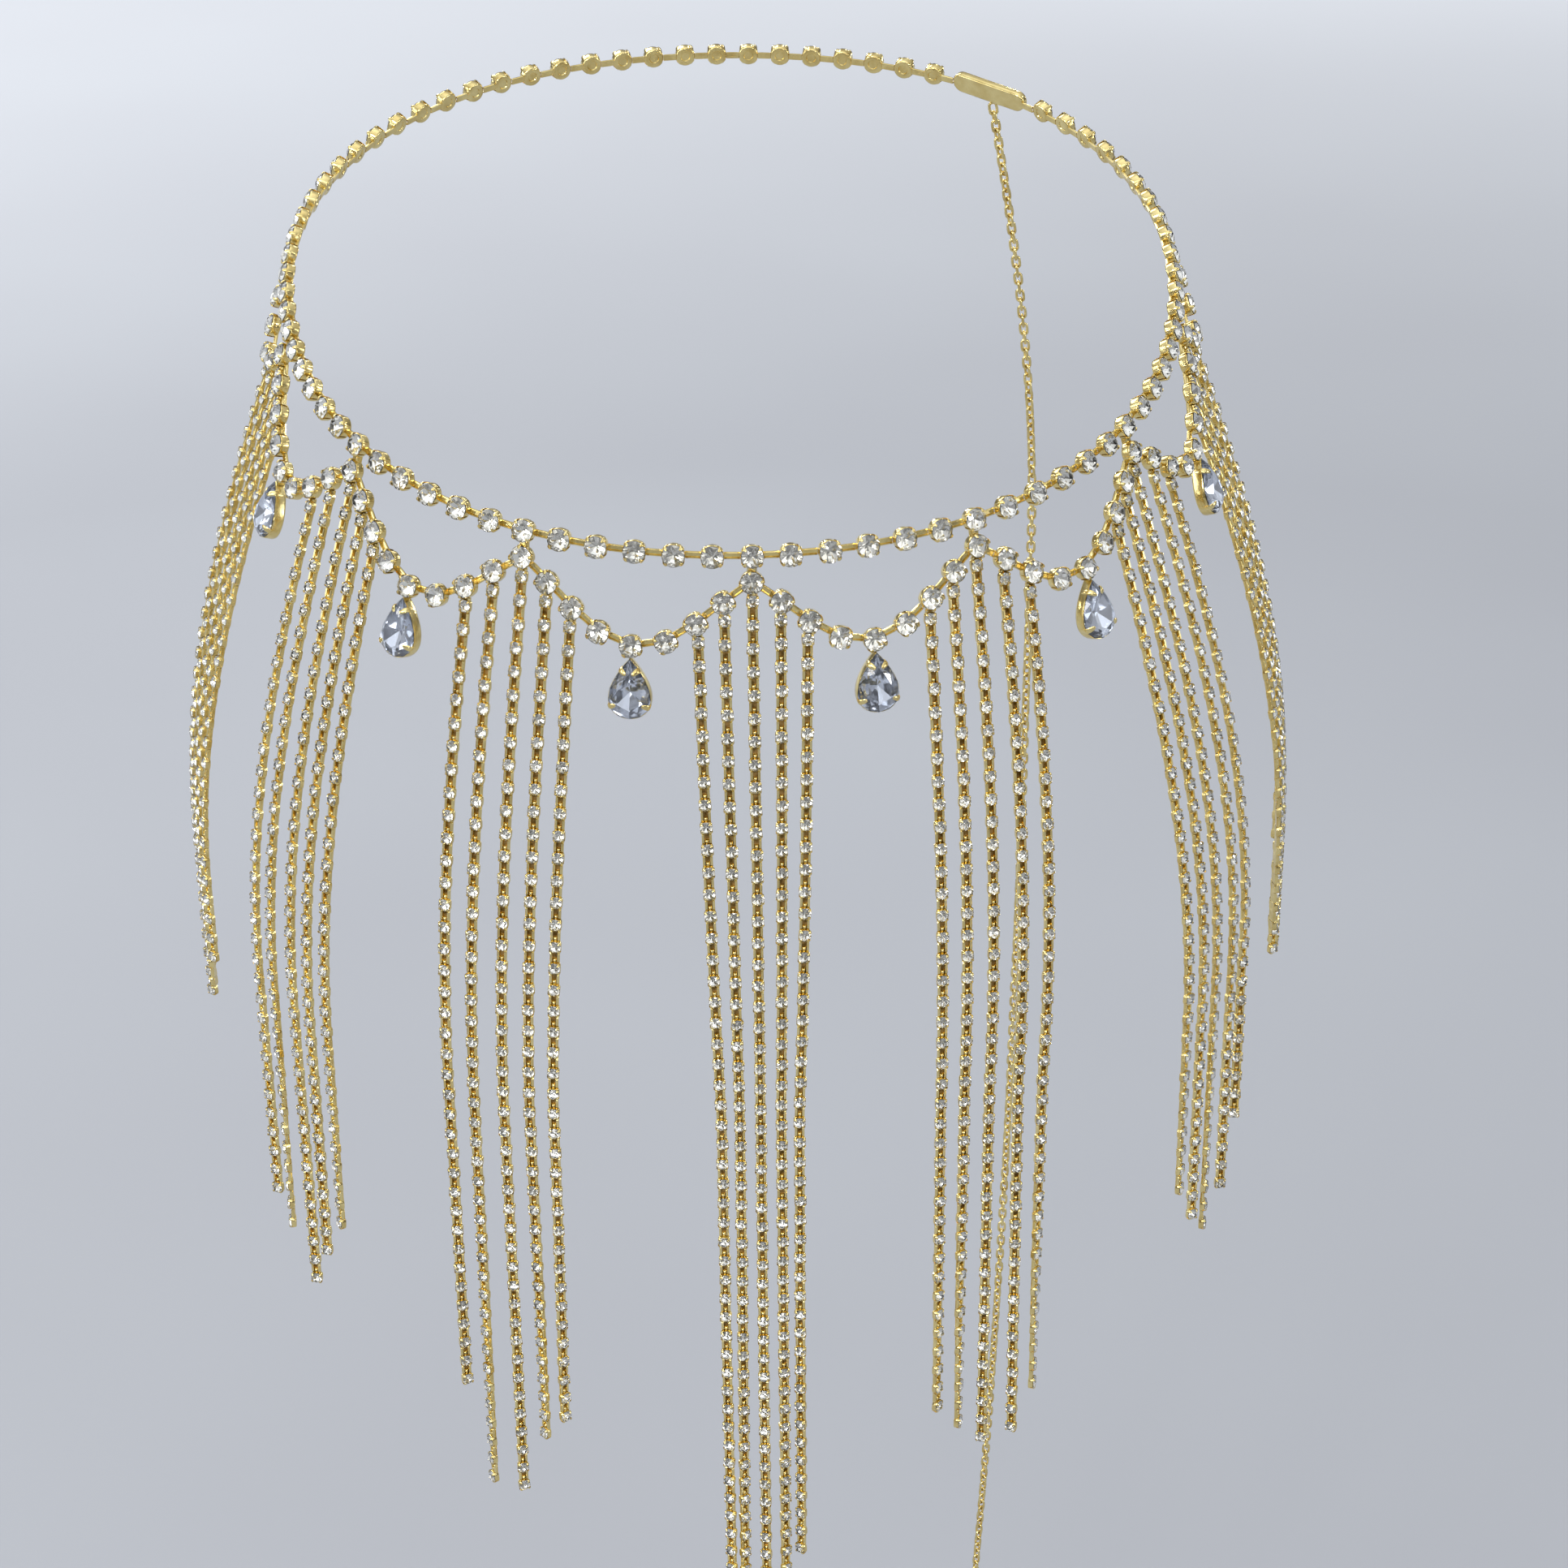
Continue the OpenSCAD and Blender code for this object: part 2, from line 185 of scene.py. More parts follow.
# The swags in order from the left, by first place, last place, sag and steps
row_end = LAST_STATION * STATION_STEPS
SWAGS = ([(-row_end - END_BELT_STEPS, -row_end, END_SAG, END_SWAG_STEPS)]
         + [(s * STATION_STEPS, (s + 1) * STATION_STEPS, SWAG_SAG, SWAG_STEPS)
            for s in range(-LAST_STATION, LAST_STATION)]
         + [(row_end, row_end + END_BELT_STEPS, END_SAG, END_SWAG_STEPS)])
ROW = [swag_spots(*swag) for swag in SWAGS]
MIDDLE = SWAG_STEPS // 2


def hang_spot(s, k):
    """The spot of the cup that chain k of station s hangs from."""
    left, right = ROW[s + LAST_STATION], ROW[s + LAST_STATION + 1]
    return right[k] if k >= 0 else left[len(left) - 1 + k]


def turn(x):
    """The angle that moves a point of the waist's side by x."""
    return x / WAIST_HALF_WIDTH * 180 / np.pi


def chain_angle(s, k, d, length):
    """The angle of chain k of station s at drop d, which gathers, leans and sways with d."""
    middle, own = belt_angle(s * STATION_STEPS), hang_spot(s, k)[0]
    by_hips = np.minimum(1, d / HIP_DROP)
    gather = FRONT_GATHER if s == 0 else SIDE_GATHER
    # Steps of 137 degrees spread the sways as if by chance.
    sway = math.sin(math.radians(137 * (5 * s + k)))
    return (middle + (own - middle) * (1 - gather * by_hips)
            + turn(STRAND_LEAN) * LEANS[s + LAST_STATION] * by_hips
            + turn(STRAND_SWAY) * sway * (d / length) ** 2)


# Places: a place is a rotation and a point, and a set of them two arrays.
def frames(points, along, out):
    """Places at points, with X along one direction and Z as near as may be to another."""
    points, along, out = (np.atleast_2d(np.asarray(v, float)) for v in (points, along, out))
    x = unit(along)
    z = unit(out - np.sum(out * x, -1, keepdims=True) * x)
    return np.stack([x, np.cross(z, x), z], -1), points


def axis_turn(axis, degrees):
    """Rotation matrices about a fixed local axis."""
    angle = np.radians(np.atleast_1d(np.asarray(degrees, float)))
    turned = np.zeros((len(angle), 3, 3))
    i, j = [(Y, Z), (Z, X), (X, Y)][axis]
    turned[:, axis, axis] = 1
    turned[:, i, i] = turned[:, j, j] = np.cos(angle)
    turned[:, j, i] = np.sin(angle)
    turned[:, i, j] = -np.sin(angle)
    return turned


def tilted(rotations, degrees):
    """The same rotations, each turned a little, as links are that were hung by hand."""
    for axis in (X, Y, Z):
        rotations = rotations @ axis_turn(axis, rng.normal(0, degrees, len(rotations)))
    return rotations


# Material slots of a mesh, in order; the last one holds painted shade
GOLD, CRYSTAL, FOIL, PAINTED_SHADE = 0, 1, 2, 3


class Shape:
    """Points and faces of a small solid that is set many times."""

    def __init__(self):
        self.points, self.faces = [], []

    def add(self, points, faces, material, smooth=False):
        start = len(self.points)
        self.points += [tuple(float(x) for x in p) for p in points]
        self.faces += [([start + i for i in face], material, smooth) for face in faces]
        return self

    def loft(self, rings, material, smooth=False):
        """Closed rings, anticlockwise seen from the last one, with both ends capped."""
        n, last = len(rings[0]), len(rings) - 1
        start = len(self.points)
        walls = [[r * n + i, r * n + (i + 1) % n, (r + 1) * n + (i + 1) % n, (r + 1) * n + i]
                 for r in range(last) for i in range(n)]
        self.add([p for ring in rings for p in ring], walls, material, smooth)
        for end in (list(range(n))[::-1], [last * n + i for i in range(n)]):
            self.faces.append(([start + i for i in end], material, False))
        return self

    def moved(self, rotation, by=(0, 0, 0)):
        other = Shape()
        other.points = [tuple(rotation @ np.array(p) + np.array(by)) for p in self.points]
        other.faces = [(list(face), material, smooth) for face, material, smooth in self.faces]
        return other

    def join(self, other):
        start = len(self.points)
        self.points += other.points
        self.faces += [([start + i for i in face], material, smooth)
                       for face, material, smooth in other.faces]
        return self

    def with_claws(self, claw_shape):
        """Joins four claws at the corners."""
        for i in range(4):
            self.join(claw_shape.moved(axis_turn(Z, 45 + 90 * i)[0]))
        return self


def ring(outline, scale, z):
    return [(x * scale, y * scale, z) for x, y in outline]


def circle(n, r, shift=0.0):
    angles = [2 * math.pi * (i + shift) / n for i in range(n)]
    return [(r * math.cos(f), r * math.sin(f)) for f in angles]


def claw(path, sides):
    """A claw along a path of (radius, height, half width, half thickness)."""
    rings = []
    for i, (r, z, w, t) in enumerate(path):
        a, b = path[max(i - 1, 0)], path[min(i + 1, len(path) - 1)]
        ahead = unit(np.array([b[0] - a[0], b[1] - a[1]]))
        rings.append([(r + ahead[1] * t * x, w * y, z - ahead[0] * t * x) for x, y in circle(sides, 1)])
    return Shape().loft(rings, GOLD, True)


def brilliant(outline, table, star, z_girdle, z_table, z_star, culet, z_culet):
    """A cut stone over an outline of 16 points.

    The crown has a table, 8 stars, 8 kites and 16 girdle facets in crystal, and
    the foiled back 8 main facets and 8 slivers. outline(t, scale) gives a point
    for t in sixteenths of the way round; table and star are scales.
    """
    points = [(*outline(t, table), z_table) for t in range(0, 16, 2)]
    points += [(*outline(t, star), z_star) for t in range(1, 16, 2)]
    points += [(*outline(t, 1.0), z_girdle) for t in range(16)]
    points.append((*culet, z_culet))

    # Point numbers, with one more of each ring so that the last facet closes on the first
    flat = [i % 8 for i in range(9)]
    tips = [8 + i % 8 for i in range(9)]
    edge = [16 + i % 16 for i in range(17)]
    bottom = len(points) - 1
    eight = range(8)
    crown = [flat[:8]]
    crown += [[flat[i], tips[i], flat[i + 1]] for i in eight]
    crown += [[flat[i], tips[(i - 1) % 8], edge[2 * i], tips[i]] for i in eight]
    crown += [[tips[i], edge[2 * i], edge[2 * i + 1]] for i in eight]
    crown += [[tips[i], edge[2 * i + 1], edge[2 * i + 2]] for i in eight]
    back = [[edge[2 * i + 2], edge[2 * i], bottom] for i in eight]
    back += [[edge[2 * i + 2], edge[2 * i + 1], edge[2 * i]] for i in eight]
    stone = Shape().add(points, crown, CRYSTAL)
    stone.faces += [(face, FOIL, False) for face in back]
    return stone


def round_stone(r, z_girdle, z_table, z_culet, table=0.52, star=0.78):
    """A round brilliant, turned by half a girdle facet."""
    def outline(t, scale):
        return r * scale * math.cos(math.pi * t / 8), r * scale * math.sin(math.pi * t / 8)

    slope = (z_table - z_girdle) / (r - r * table)
    z_star = z_table - (r * star * math.cos(math.pi / 8) - r * table) * slope
    stone = brilliant(outline, table, star, z_girdle, z_table, z_star, (0, 0), z_culet)
    return stone.moved(axis_turn(Z, 11.25)[0])


def large_cup():
    """A turned cup under a stone as wide as itself, with four claws."""
    # (radius, height) from the recessed back, up the wall, over the rim and down inside
    profile = [(1.2, 0.34), (1.4, 0.06), (2.4, 0), (2.7, 0.14), (2.8, 0.5), (2.83, 1.9), (2.82, 2.34),
               (2.74, 2.44), (2.6, 2.4), (2.5, 2.2), (0.5, 0.4)]
    cup = Shape().loft([ring(circle(24, 1), r, z) for r, z in profile], GOLD, True)
    cup.with_claws(claw([(2.8, 0.5, 0.74, 0.1), (2.92, 1.6, 0.74, 0.16), (2.96, 2.5, 0.62, 0.2),
                         (2.82, 3.02, 0.46, 0.2), (2.26, 3.4, 0.24, 0.12)], 8))
    return cup.join(round_stone(2.76, z_girdle=2.62, z_table=CUP_H + STONE_RISE, z_culet=0.5))


def small_cup():
    """The fringe's cup: a squarish box, its round stone and four corner claws."""
    # Half the box's width, its cut corners and where they begin
    h, c, e = HALF_SMALL_CUP, 1.3, 0.78
    box = [(h, -e), (h, e), (c, c), (e, h), (-e, h), (-c, c), (-h, e), (-h, -e), (-c, -c), (-e, -h),
           (e, -h), (c, -c)]
    inner = circle(12, 1.0, -0.5)
    cup = Shape().loft([ring(inner, 0.75, 0.14), ring(box, 0.86, 0), ring(box, 0.98, 0.16),
                        ring(box, 1.0, 1.2), ring(box, 0.96, 1.32), ring(inner, 1.4, 1.28),
                        ring(inner, 0.4, 0.24)], GOLD, False)
    cup.with_claws(claw([(1.76, 0.7, 0.36, 0.1), (1.78, 1.4, 0.36, 0.14), (1.6, 1.74, 0.3, 0.14),
                         (1.16, 1.92, 0.13, 0.08)], 4))
    return cup.join(round_stone(1.53, z_girdle=1.44, z_table=STRAND_T + 0.06, z_culet=0.3))


# Sections of the strips between two cups, as (y, z): a trough between two raised edges
BAR_LOW = 0.3  # height of the trough's floor
LARGE_BAR = [(-0.84, 0.12), (0.84, 0.12), (0.9, 0.5), (0.82, 0.8), (0.56, 0.86), (0.36, BAR_LOW),
             (-0.36, BAR_LOW), (-0.56, 0.86), (-0.82, 0.8), (-0.9, 0.5)]
SMALL_BAR = [(-1.14, 0.12), (1.14, 0.12), (1.24, 0.5), (1.22, 1.0), (1.04, 1.14), (0.62, 1.04),
             (0.46, BAR_LOW), (-0.46, BAR_LOW), (-0.62, 1.04), (-1.04, 1.14), (-1.22, 1.0), (-1.24, 0.5)]


def bar(section, dip):
    """A strip one unit long, whose edges dip to a share of their height at its ends."""
    rings = [[(x, y, z if z <= BAR_LOW else BAR_LOW + (z - BAR_LOW) * keep) for y, z in section]
             for x, keep in ((0.0, dip), (0.16, 1.0), (0.84, 1.0), (1.0, dip))]
    return Shape().loft(rings, GOLD, False)


def slotted_bar(section, dip, half_slot, tab):
    """The same strip with its slot darkened by painted shade, and a domed tab in its lower end."""
    strip = bar(section, dip)
    # A dark box of painted shade fills the slot from the tab up to the cup above.
    floor_z, slot_top = 0.2, BAR_LOW + 0.04
    sides = [(-half_slot, floor_z), (half_slot, floor_z), (half_slot, slot_top), (-half_slot, slot_top)]
    strip.loft([[(x, y, z) for y, z in sides] for x in (tab, 1.0)], PAINTED_SHADE)
    arch = [(-1, 0.0), (1, 0.0), (1, 0.45), (0.75, 0.8), (0.3, 1.0), (-0.3, 1.0), (-0.75, 0.8), (-1, 0.45)]
    dome = [(0.0, 0.5), (0.25, 0.85), (0.6, 1.0), (0.85, 0.85), (1.0, 0.4)]
    return strip.loft([[(share * tab, y * half_slot, floor_z + height * z) for y, z in arch]
                       for share, height in dome], GOLD, True)


def oval_link(length, width, wire, around=16, sides=8):
    """An oval wire link along X, about its own middle."""
    half, bend = (length - width) / 2, width / 2 - wire / 2
    points = []
    for i in range(around):
        # The two rings at the middle of the long sides belong to neither end.
        t = 2 * math.pi * i / around
        out = np.array([math.cos(t), math.sin(t), 0])
        end = half * np.sign(math.cos(t)) * (abs(math.cos(t)) > 0.01)
        middle = np.array([end + bend * math.cos(t), bend * math.sin(t), 0])
        for x, y in circle(sides, 1):
            points.append(tuple(middle + out * wire / 2 * x + np.array([0, 0, wire / 2 * y])))
    faces = []
    for i in range(around):
        here, ahead = i * sides, (i + 1) % around * sides
        faces += [[here + j, ahead + j, ahead + (j + 1) % sides, here + (j + 1) % sides]
                  for j in range(sides)]
    return Shape().add(points, faces, GOLD, True)


def pear_point(t, grow):
    """The pear's outline, point up, anticlockwise for rising t in degrees."""
    t = math.radians(-t)
    widest = 0.77  # of the two sines' product
    return ((PEAR_W / 2 + grow) * math.sin(t) * abs(math.sin(t / 2)) / widest,
            (PEAR_L / 2 + grow) * math.cos(t))


def pear_setting():
    """The pear's setting, with a sunk back, a rolled rim and four claws."""
    rim, n = STONE_GAP + PEAR_WALL, 40
    # (growth of the outline, height) from the sunk back, round the wall and down inside
    levels = [(-2.1, 0.4), (-1.8, 0.1), (rim - 0.5, 0), (rim - 0.15, 0.18), (rim - 0.02, 0.6),
              (rim, PEAR_H - 0.5), (rim - 0.1, PEAR_H - 0.22), (rim - 0.3, PEAR_H - 0.2),
              (STONE_GAP, PEAR_H - 0.45), (-2.6, 0.5)]
    setting = Shape().loft([[(*pear_point(360 * i / n, grow), z) for i in range(n)] for grow, z in levels],
                           GOLD, True)
    prong = claw([(0, 1.0, 0.56, 0.16), (0.12, 2.4, 0.68, 0.2), (0.08, 3.35, 0.7, 0.24),
                  (-0.5, 4.0, 0.68, 0.24), (-1.4, 4.5, 0.5, 0.18), (-1.8, 4.62, 0.28, 0.1)], 8)
    # Two claws stand beside the point and two at the round end.
    for t in (50, 126, 234, 310):
        foot = pear_point(t, rim - 0.1)
        after, before = pear_point(t + 1, rim - 0.1), pear_point(t - 1, rim - 0.1)
        away = math.degrees(math.atan2(-(after[0] - before[0]), after[1] - before[1]))
        setting.join(prong.moved(axis_turn(Z, away)[0], (*foot, 0)))
    return setting


def pear_stone():
    """A pear-shaped brilliant, whose back facets meet a little towards its round end."""
    # The stone reaches over the setting's wall, and its crown narrows towards middle_y.
    grow, middle_y = 0.64, -1.2

    def outline(t, scale):
        x, y = pear_point(22.5 * t, grow)
        return x * scale, (y - middle_y) * scale + middle_y

    return brilliant(outline, table=0.6, star=0.82, z_girdle=PEAR_H - 0.05, z_table=PEAR_H + PEAR_RISE,
                     z_star=PEAR_H + PEAR_RISE * 0.62, culet=(0, -0.9), z_culet=0.6)


# Meshes
def placed(shape, places, lengths):
    """Corners, corner numbers, face starts, material slots and smoothing of a shape's copies.

    Where lengths are given, each copy is stretched along X to its own.
    """
    rotations, points = places
    own = np.array(shape.points)
    flat = np.array([i for face, _, _ in shape.faces for i in face])
    sizes = np.array([len(face) for face, _, _ in shape.faces])
    first = np.concatenate([[0], np.cumsum(sizes)[:-1]])
    copies = np.arange(len(points))[:, None]
    local = np.broadcast_to(own, (len(points), len(own), 3)).copy()
    if lengths is not None:
        local[:, :, X] *= np.asarray(lengths, float)[:, None]
    corners = (np.einsum("nij,nvj->nvi", rotations, local) + points[:, None]).reshape(-1, 3)
    return (corners,
            (flat[None] + len(own) * copies).ravel(),
            (first[None] + len(flat) * copies).ravel(),
            np.tile([material for _, material, _ in shape.faces], len(points)),
            np.tile([smooth for _, _, smooth in shape.faces], len(points)))


def stacked(lists, lengths):
    """The lists end to end, each raised by the lengths of those before it."""
    before = np.cumsum([0] + list(lengths[:-1]))
    return np.concatenate([one + shift for one, shift in zip(lists, before)]).astype(np.int32)


def build(name, sets, materials, nodes):
    """One joined mesh of sets of (shape, places, lengths), in place of nodes."""
    corners, loops, starts, slots, smooth = zip(*(placed(*one) for one in sets))
    loop_counts = [len(one) for one in loops]
    loops = stacked(loops, [len(one) for one in corners])
    starts = stacked(starts, loop_counts)
    corners = np.concatenate(corners) / MM_PER_M
    mesh = bpy.data.meshes.new(name)
    mesh.vertices.add(len(corners))
    mesh.vertices.foreach_set("co", corners.ravel())
    mesh.loops.add(len(loops))
    mesh.loops.foreach_set("vertex_index", loops)
    mesh.polygons.add(len(starts))
    mesh.polygons.foreach_set("loop_start", starts)
    for material in materials:
        mesh.materials.append(material)
    mesh.polygons.foreach_set("material_index", np.concatenate(slots).astype(np.int32))
    mesh.update(calc_edges=True)
    mesh.validate()
    mesh.set_sharp_from_angle(angle=math.radians(SHARP_EDGE))
    # Setting the sharp edges makes every face smooth, so the cut facets turn flat after it.
    mesh.polygons.foreach_set("use_smooth", np.concatenate(smooth).astype(bool))
    obj = bpy.data.objects.new(name, mesh)
    bpy.context.scene.collection.objects.link(obj)
    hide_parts(*nodes)
    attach(obj, "root")


# Materials
def fill(node, sockets):
    """Sets a node's inputs by name or number: an output is linked, all else is a value."""
    for name, value in sockets.items():
        if isinstance(value, bpy.types.NodeSocket):
            node.id_data.links.new(value, node.inputs[name])
        else:
            node.inputs[name].default_value = value
    return node


def noise(tree, scale, detail=2.0):
    """Noise that is fixed to the object."""
    where = tree.nodes.new("ShaderNodeTexCoord").outputs["Object"]
    made = tree.nodes.new("ShaderNodeTexNoise")
    return fill(made, {"Scale": scale, "Detail": detail, "Vector": where}).outputs["Fac"]


def color_ramp(tree, share, stops):
    """Colours by a share, from stops of (position, colour) in rising order."""
    made = tree.nodes.new("ShaderNodeValToRGB")
    elements = made.color_ramp.elements
    for element, (position, color) in zip(elements, (stops[0], stops[-1])):
        element.position = position
        element.color = (*color, 1)
    for position, color in stops[1:-1]:
        elements.new(position).color = (*color, 1)
    return fill(made, {"Fac": share}).outputs["Color"]


def mapped(tree, value, low, high, to_low=0.0, to_high=1.0):
    """A value from low to high, mapped to another range."""
    made = tree.nodes.new("ShaderNodeMapRange")
    return fill(made, {"From Min": low, "From Max": high, "To Min": to_low, "To Max": to_high,
                       "Value": value}).outputs["Result"]


def bump(tree, height, strength):
    """A surface normal for dents of a tenth of a millimetre."""
    made = tree.nodes.new("ShaderNodeBump")
    return fill(made, {"Strength": strength, "Distance": 0.0001, "Height": height}).outputs["Normal"]


def new_material(name):
    material = bpy.data.materials.new(name)
    material.use_nodes = True
    return material, material.node_tree, material.node_tree.nodes["Principled BSDF"]


def gold_material():
    """Polished plate, a little uneven in its tone and polish."""
    material, tree, shader = new_material("polished_gold")
    wear = noise(tree, 260.0, 4.0)
    fill(shader, {"Metallic": 1.0,
                  "Base Color": color_ramp(tree, wear, [(0.35, (0.73, 0.57, 0.225)),
                                                        (0.65, (0.89, 0.745, 0.35))]),
                  "Roughness": mapped(tree, wear, 0.3, 0.7, 0.13, 0.26),
                  "Normal": bump(tree, noise(tree, 1500.0), 0.25)})
    return material


def painted_shade_material():
    """Gold dulled and dark brown, as painted shade down in a slot where little light reaches."""
    material, tree, shader = new_material("painted_shade_gold")
    fill(shader, {"Metallic": 1.0,
                  "Roughness": 0.45,
                  "Base Color": color_ramp(tree, noise(tree, 900.0), [(0.35, (0.14, 0.08, 0.02)),
                                                                      (0.65, (0.44, 0.27, 0.09))])})
    return material


def glass_material(name, color):
    """Cut glass whose polish is a little uneven and slightly wavy."""
    material, tree, shader = new_material(name)
    wear = noise(tree, 420.0)
    fill(shader, {"Base Color": (*color, 1),
                  "Transmission Weight": 1.0,
                  "IOR": 1.5,
                  "Roughness": mapped(tree, wear, 0.45, 0.8, 0.0, 0.12),
                  "Normal": bump(tree, wear, 0.12)})
    return material


def foil_material(name, dark, light, metallic):
    """The mirror foil behind a stone, a little different from stone to stone."""
    material, tree, shader = new_material(name)
    each = tree.nodes.new("ShaderNodeNewGeometry").outputs["Random Per Island"]
    fill(shader, {"Metallic": metallic,
                  "Roughness": 0.07,
                  "Base Color": color_ramp(tree, each, [(0.0, dark), (1.0, light)])})
    return material


gold = gold_material()
# The fourth slot is painted shade, for the slots of the fringe's bars.
CHAIN = [gold,
         glass_material("clear_crystal", (0.98, 0.985, 0.98)),
         foil_material("silver_foil", (0.72, 0.71, 0.67), (0.97, 0.96, 0.92), 0.95),
         painted_shade_material()]
PEARS = [gold,
         glass_material("smoke_crystal", (0.93, 0.955, 1.0)),
         foil_material("smoke_foil", (0.65, 0.68, 0.75), (0.79, 0.82, 0.87), 0.88)]

# Belt and swags
cup, large_bar = large_cup(), bar(LARGE_BAR, 0.7)


def along(spots):
    """Points, ways to the next point and outward directions of spots of (angle, drop)."""
    a, d = np.array(spots, float).T
    points = skin(a, d)
    ways = np.concatenate([points[1:] - points[:-1], points[-1:] - points[-2:-1]])
    return points, ways, outward(a, d)


def bars_between(points, out):
    """Places and lengths of bars from each cup's point to the next."""
    step = points[1:] - points[:-1]
    places = frames(points[:-1] + unit(step) * BAR_INSET, step, out[:-1] + out[1:])
    return places, np.linalg.norm(step, axis=1) - 2 * BAR_INSET


def some_bars(points, out, which):
    """The set of those bars that a slice picks."""
    (rotations, at), lengths = bars_between(points, out)
    return large_bar, (rotations[which], at[which]), lengths[which]


def stations():
    """The cups soldered beneath the belt, their solder, and each swag's first bar."""
    a = np.array([belt_angle(swag[0]) for swag in SWAGS] + [belt_angle(SWAGS[-1][1])])
    belt_points, low_points = skin(a, 0 * a), skin(a, np.full(len(a), float(STATION_DROP)))
    section = [(-1.1, 0.1), (1.1, 0.1), (1.2, 0.8), (0.7, 1.7), (-0.7, 1.7), (-1.2, 0.8)]
    ends = (SOLDER_INSET, STATION_DROP - SOLDER_INSET)
    solder = Shape().loft([[(x, y, z) for y, z in section] for x in ends], GOLD, True)
    solder_places = frames(belt_points, low_points - belt_points, outward(a, 0 * a))
    # A station's cup looks along the swag that leaves it, and the last one along its own.
    next_points = [skin(*row[1]) for row in ROW]
    next_points.append(2 * skin(*ROW[-1][-1]) - skin(*ROW[-1][-2]))
    rotations, _ = frames(low_points, np.array(next_points) - low_points, outward(a, STATION_DROP))
    sets = [(solder, solder_places, None), (cup, (tilted(rotations, BELT_TILT), low_points), None)]
    for row in ROW:
        points, _, out = along(row)
        sets.append(some_bars(points, out, slice(0, 1)))
    return sets


def belt():
    """The belt from one side of the clasp round to the other, with its stations."""
    first, last = CLASP_STEPS + 2, 2 * half_steps + CLASP_STEPS - 2
    angles = [belt_angle(k if k <= half_steps else k - 2 * half_steps) for k in range(first, last + 1)]
    points, ways, out = along([(a, 0.0) for a in angles])
    rotations, _ = frames(points, ways, out)
    bars, lengths = bars_between(points, out)
    sets = [(cup, (tilted(rotations, BELT_TILT), points), None), (large_bar, bars, lengths)]
    build("belt", sets + stations(), CHAIN, ["belt_chain"])


def swags():
    """The swags between the stations. Gives the place of each full swag's middle cup."""
    sets, middle_cups = [], {}
    for i, row in enumerate(ROW):
        points, ways, out = along(row)
        rotations, _ = frames(points, ways, out)
        rotations = tilted(rotations, SWAG_TILT)
        own_cups = list(range(1, len(row) - 1))
        if len(row) - 1 == SWAG_STEPS:
            own_cups.remove(MIDDLE)
            middle_cups[i] = (rotations[MIDDLE:MIDDLE + 1], points[MIDDLE:MIDDLE + 1])
        sets.append((cup, (rotations[own_cups], points[own_cups]), None))
        sets.append(some_bars(points, out, slice(1, None)))
    build("swags", sets, CHAIN, ["swag_row"])
    return middle_cups


def pear_drops(middle_cups):
    """Under each swag's middle cup, a pear in its setting."""
    hang = CUP_D / 2 + PEAR_L / 2 + PEAR_WALL + STONE_GAP - SOLDER
    setting, stone = pear_setting(), pear_stone()
    for i, cup_place in middle_cups.items():
        a, d = (np.array([x]) for x in ROW[i][MIDDLE])
        up, out = -down(a, d), outward(a, d)
        place = frames(skin(a, d) - up * hang, np.cross(up, out), out)
        build(f"pear_setting_{i}", [(cup, cup_place, None), (setting, place, None)], CHAIN,
              [f"drop_{i}"])
        build(f"pear_crystal_{i}", [(stone, place, None)], PEARS, [f"pear_{i}"])


# The fringe
small, small_bar = small_cup(), slotted_bar(SMALL_BAR, 0.5, half_slot=0.44, tab=0.42)


def strand_sets(s, k):
    """The cups and bars of chain k of station s."""
    n = STONES[s + LAST_STATION][k + OUTER_CHAIN]
    cup_angle, cup_drop = hang_spot(s, k)
    top, length = cup_drop + CUP_D / 2 + HANG_GAP, n * STRAND_PITCH
    fine = top + length * np.arange(61) / 60
    run = runs(skin(chain_angle(s, k, fine, length), fine))
    whole = length - CUP_D / 2 - HANG_GAP
    number = np.arange(n)
    at = HALF_SMALL_CUP + (whole - 2 * HALF_SMALL_CUP) * number / (n - 1)
    d = np.interp(at, run, fine)
    a = chain_angle(s, k, d, length)
    points, out = skin(a, d), outward(a, d)
    upward = skin(chain_angle(s, k, d - 1, length), d - 1) - skin(chain_angle(s, k, d + 1, length), d + 1)
    rotations, _ = frames(points, upward, out)
    # The chain turns about its own middle over the lower part of its length.
    u = np.clip((number / (n - 1) - TWIST_FROM) / (1 - TWIST_FROM), 0, 1)
    twist = TWIST[s + LAST_STATION][k + OUTER_CHAIN] * u * u * (3 - 2 * u)
    rotations = rotations @ axis_turn(X, twist)
    turned_out = rotations[:, :, Z]
    points = points + out * STRAND_T / 2 - turned_out * STRAND_T / 2
    cups = (small, (tilted(rotations, STRAND_TILT), points), None)
    # Each bar runs from its cup up to the one above, the first to the cup that the chain hangs from.
    hook = skin(cup_angle, cup_drop) + outward(cup_angle, cup_drop) * HOOK_RISE
    joints = np.concatenate([[hook], points])
    normals = np.concatenate([turned_out[:1], turned_out])
    step = joints[:-1] - joints[1:]
    upper_inset = np.concatenate([[BAR_INSET], np.full(n - 1, SMALL_BAR_INSET)])
    lengths = np.linalg.norm(step, axis=1) - SMALL_BAR_INSET - upper_inset
    bars = frames(joints[1:] + unit(step) * SMALL_BAR_INSET, step, normals[:-1] + normals[1:])
    return [cups, (small_bar, bars, lengths)]


def fringe():
    """Seven groups of five chains."""
    for s in range(-LAST_STATION, LAST_STATION + 1):
        sets = [one for k in range(-OUTER_CHAIN, OUTER_CHAIN + 1) for one in strand_sets(s, k)]
        nodes = [f"strand_{5 * (s + LAST_STATION) + k:02d}" for k in range(1, 6)]
        build(f"fringe_{GROUPS[s + LAST_STATION]}", sets, CHAIN, nodes)


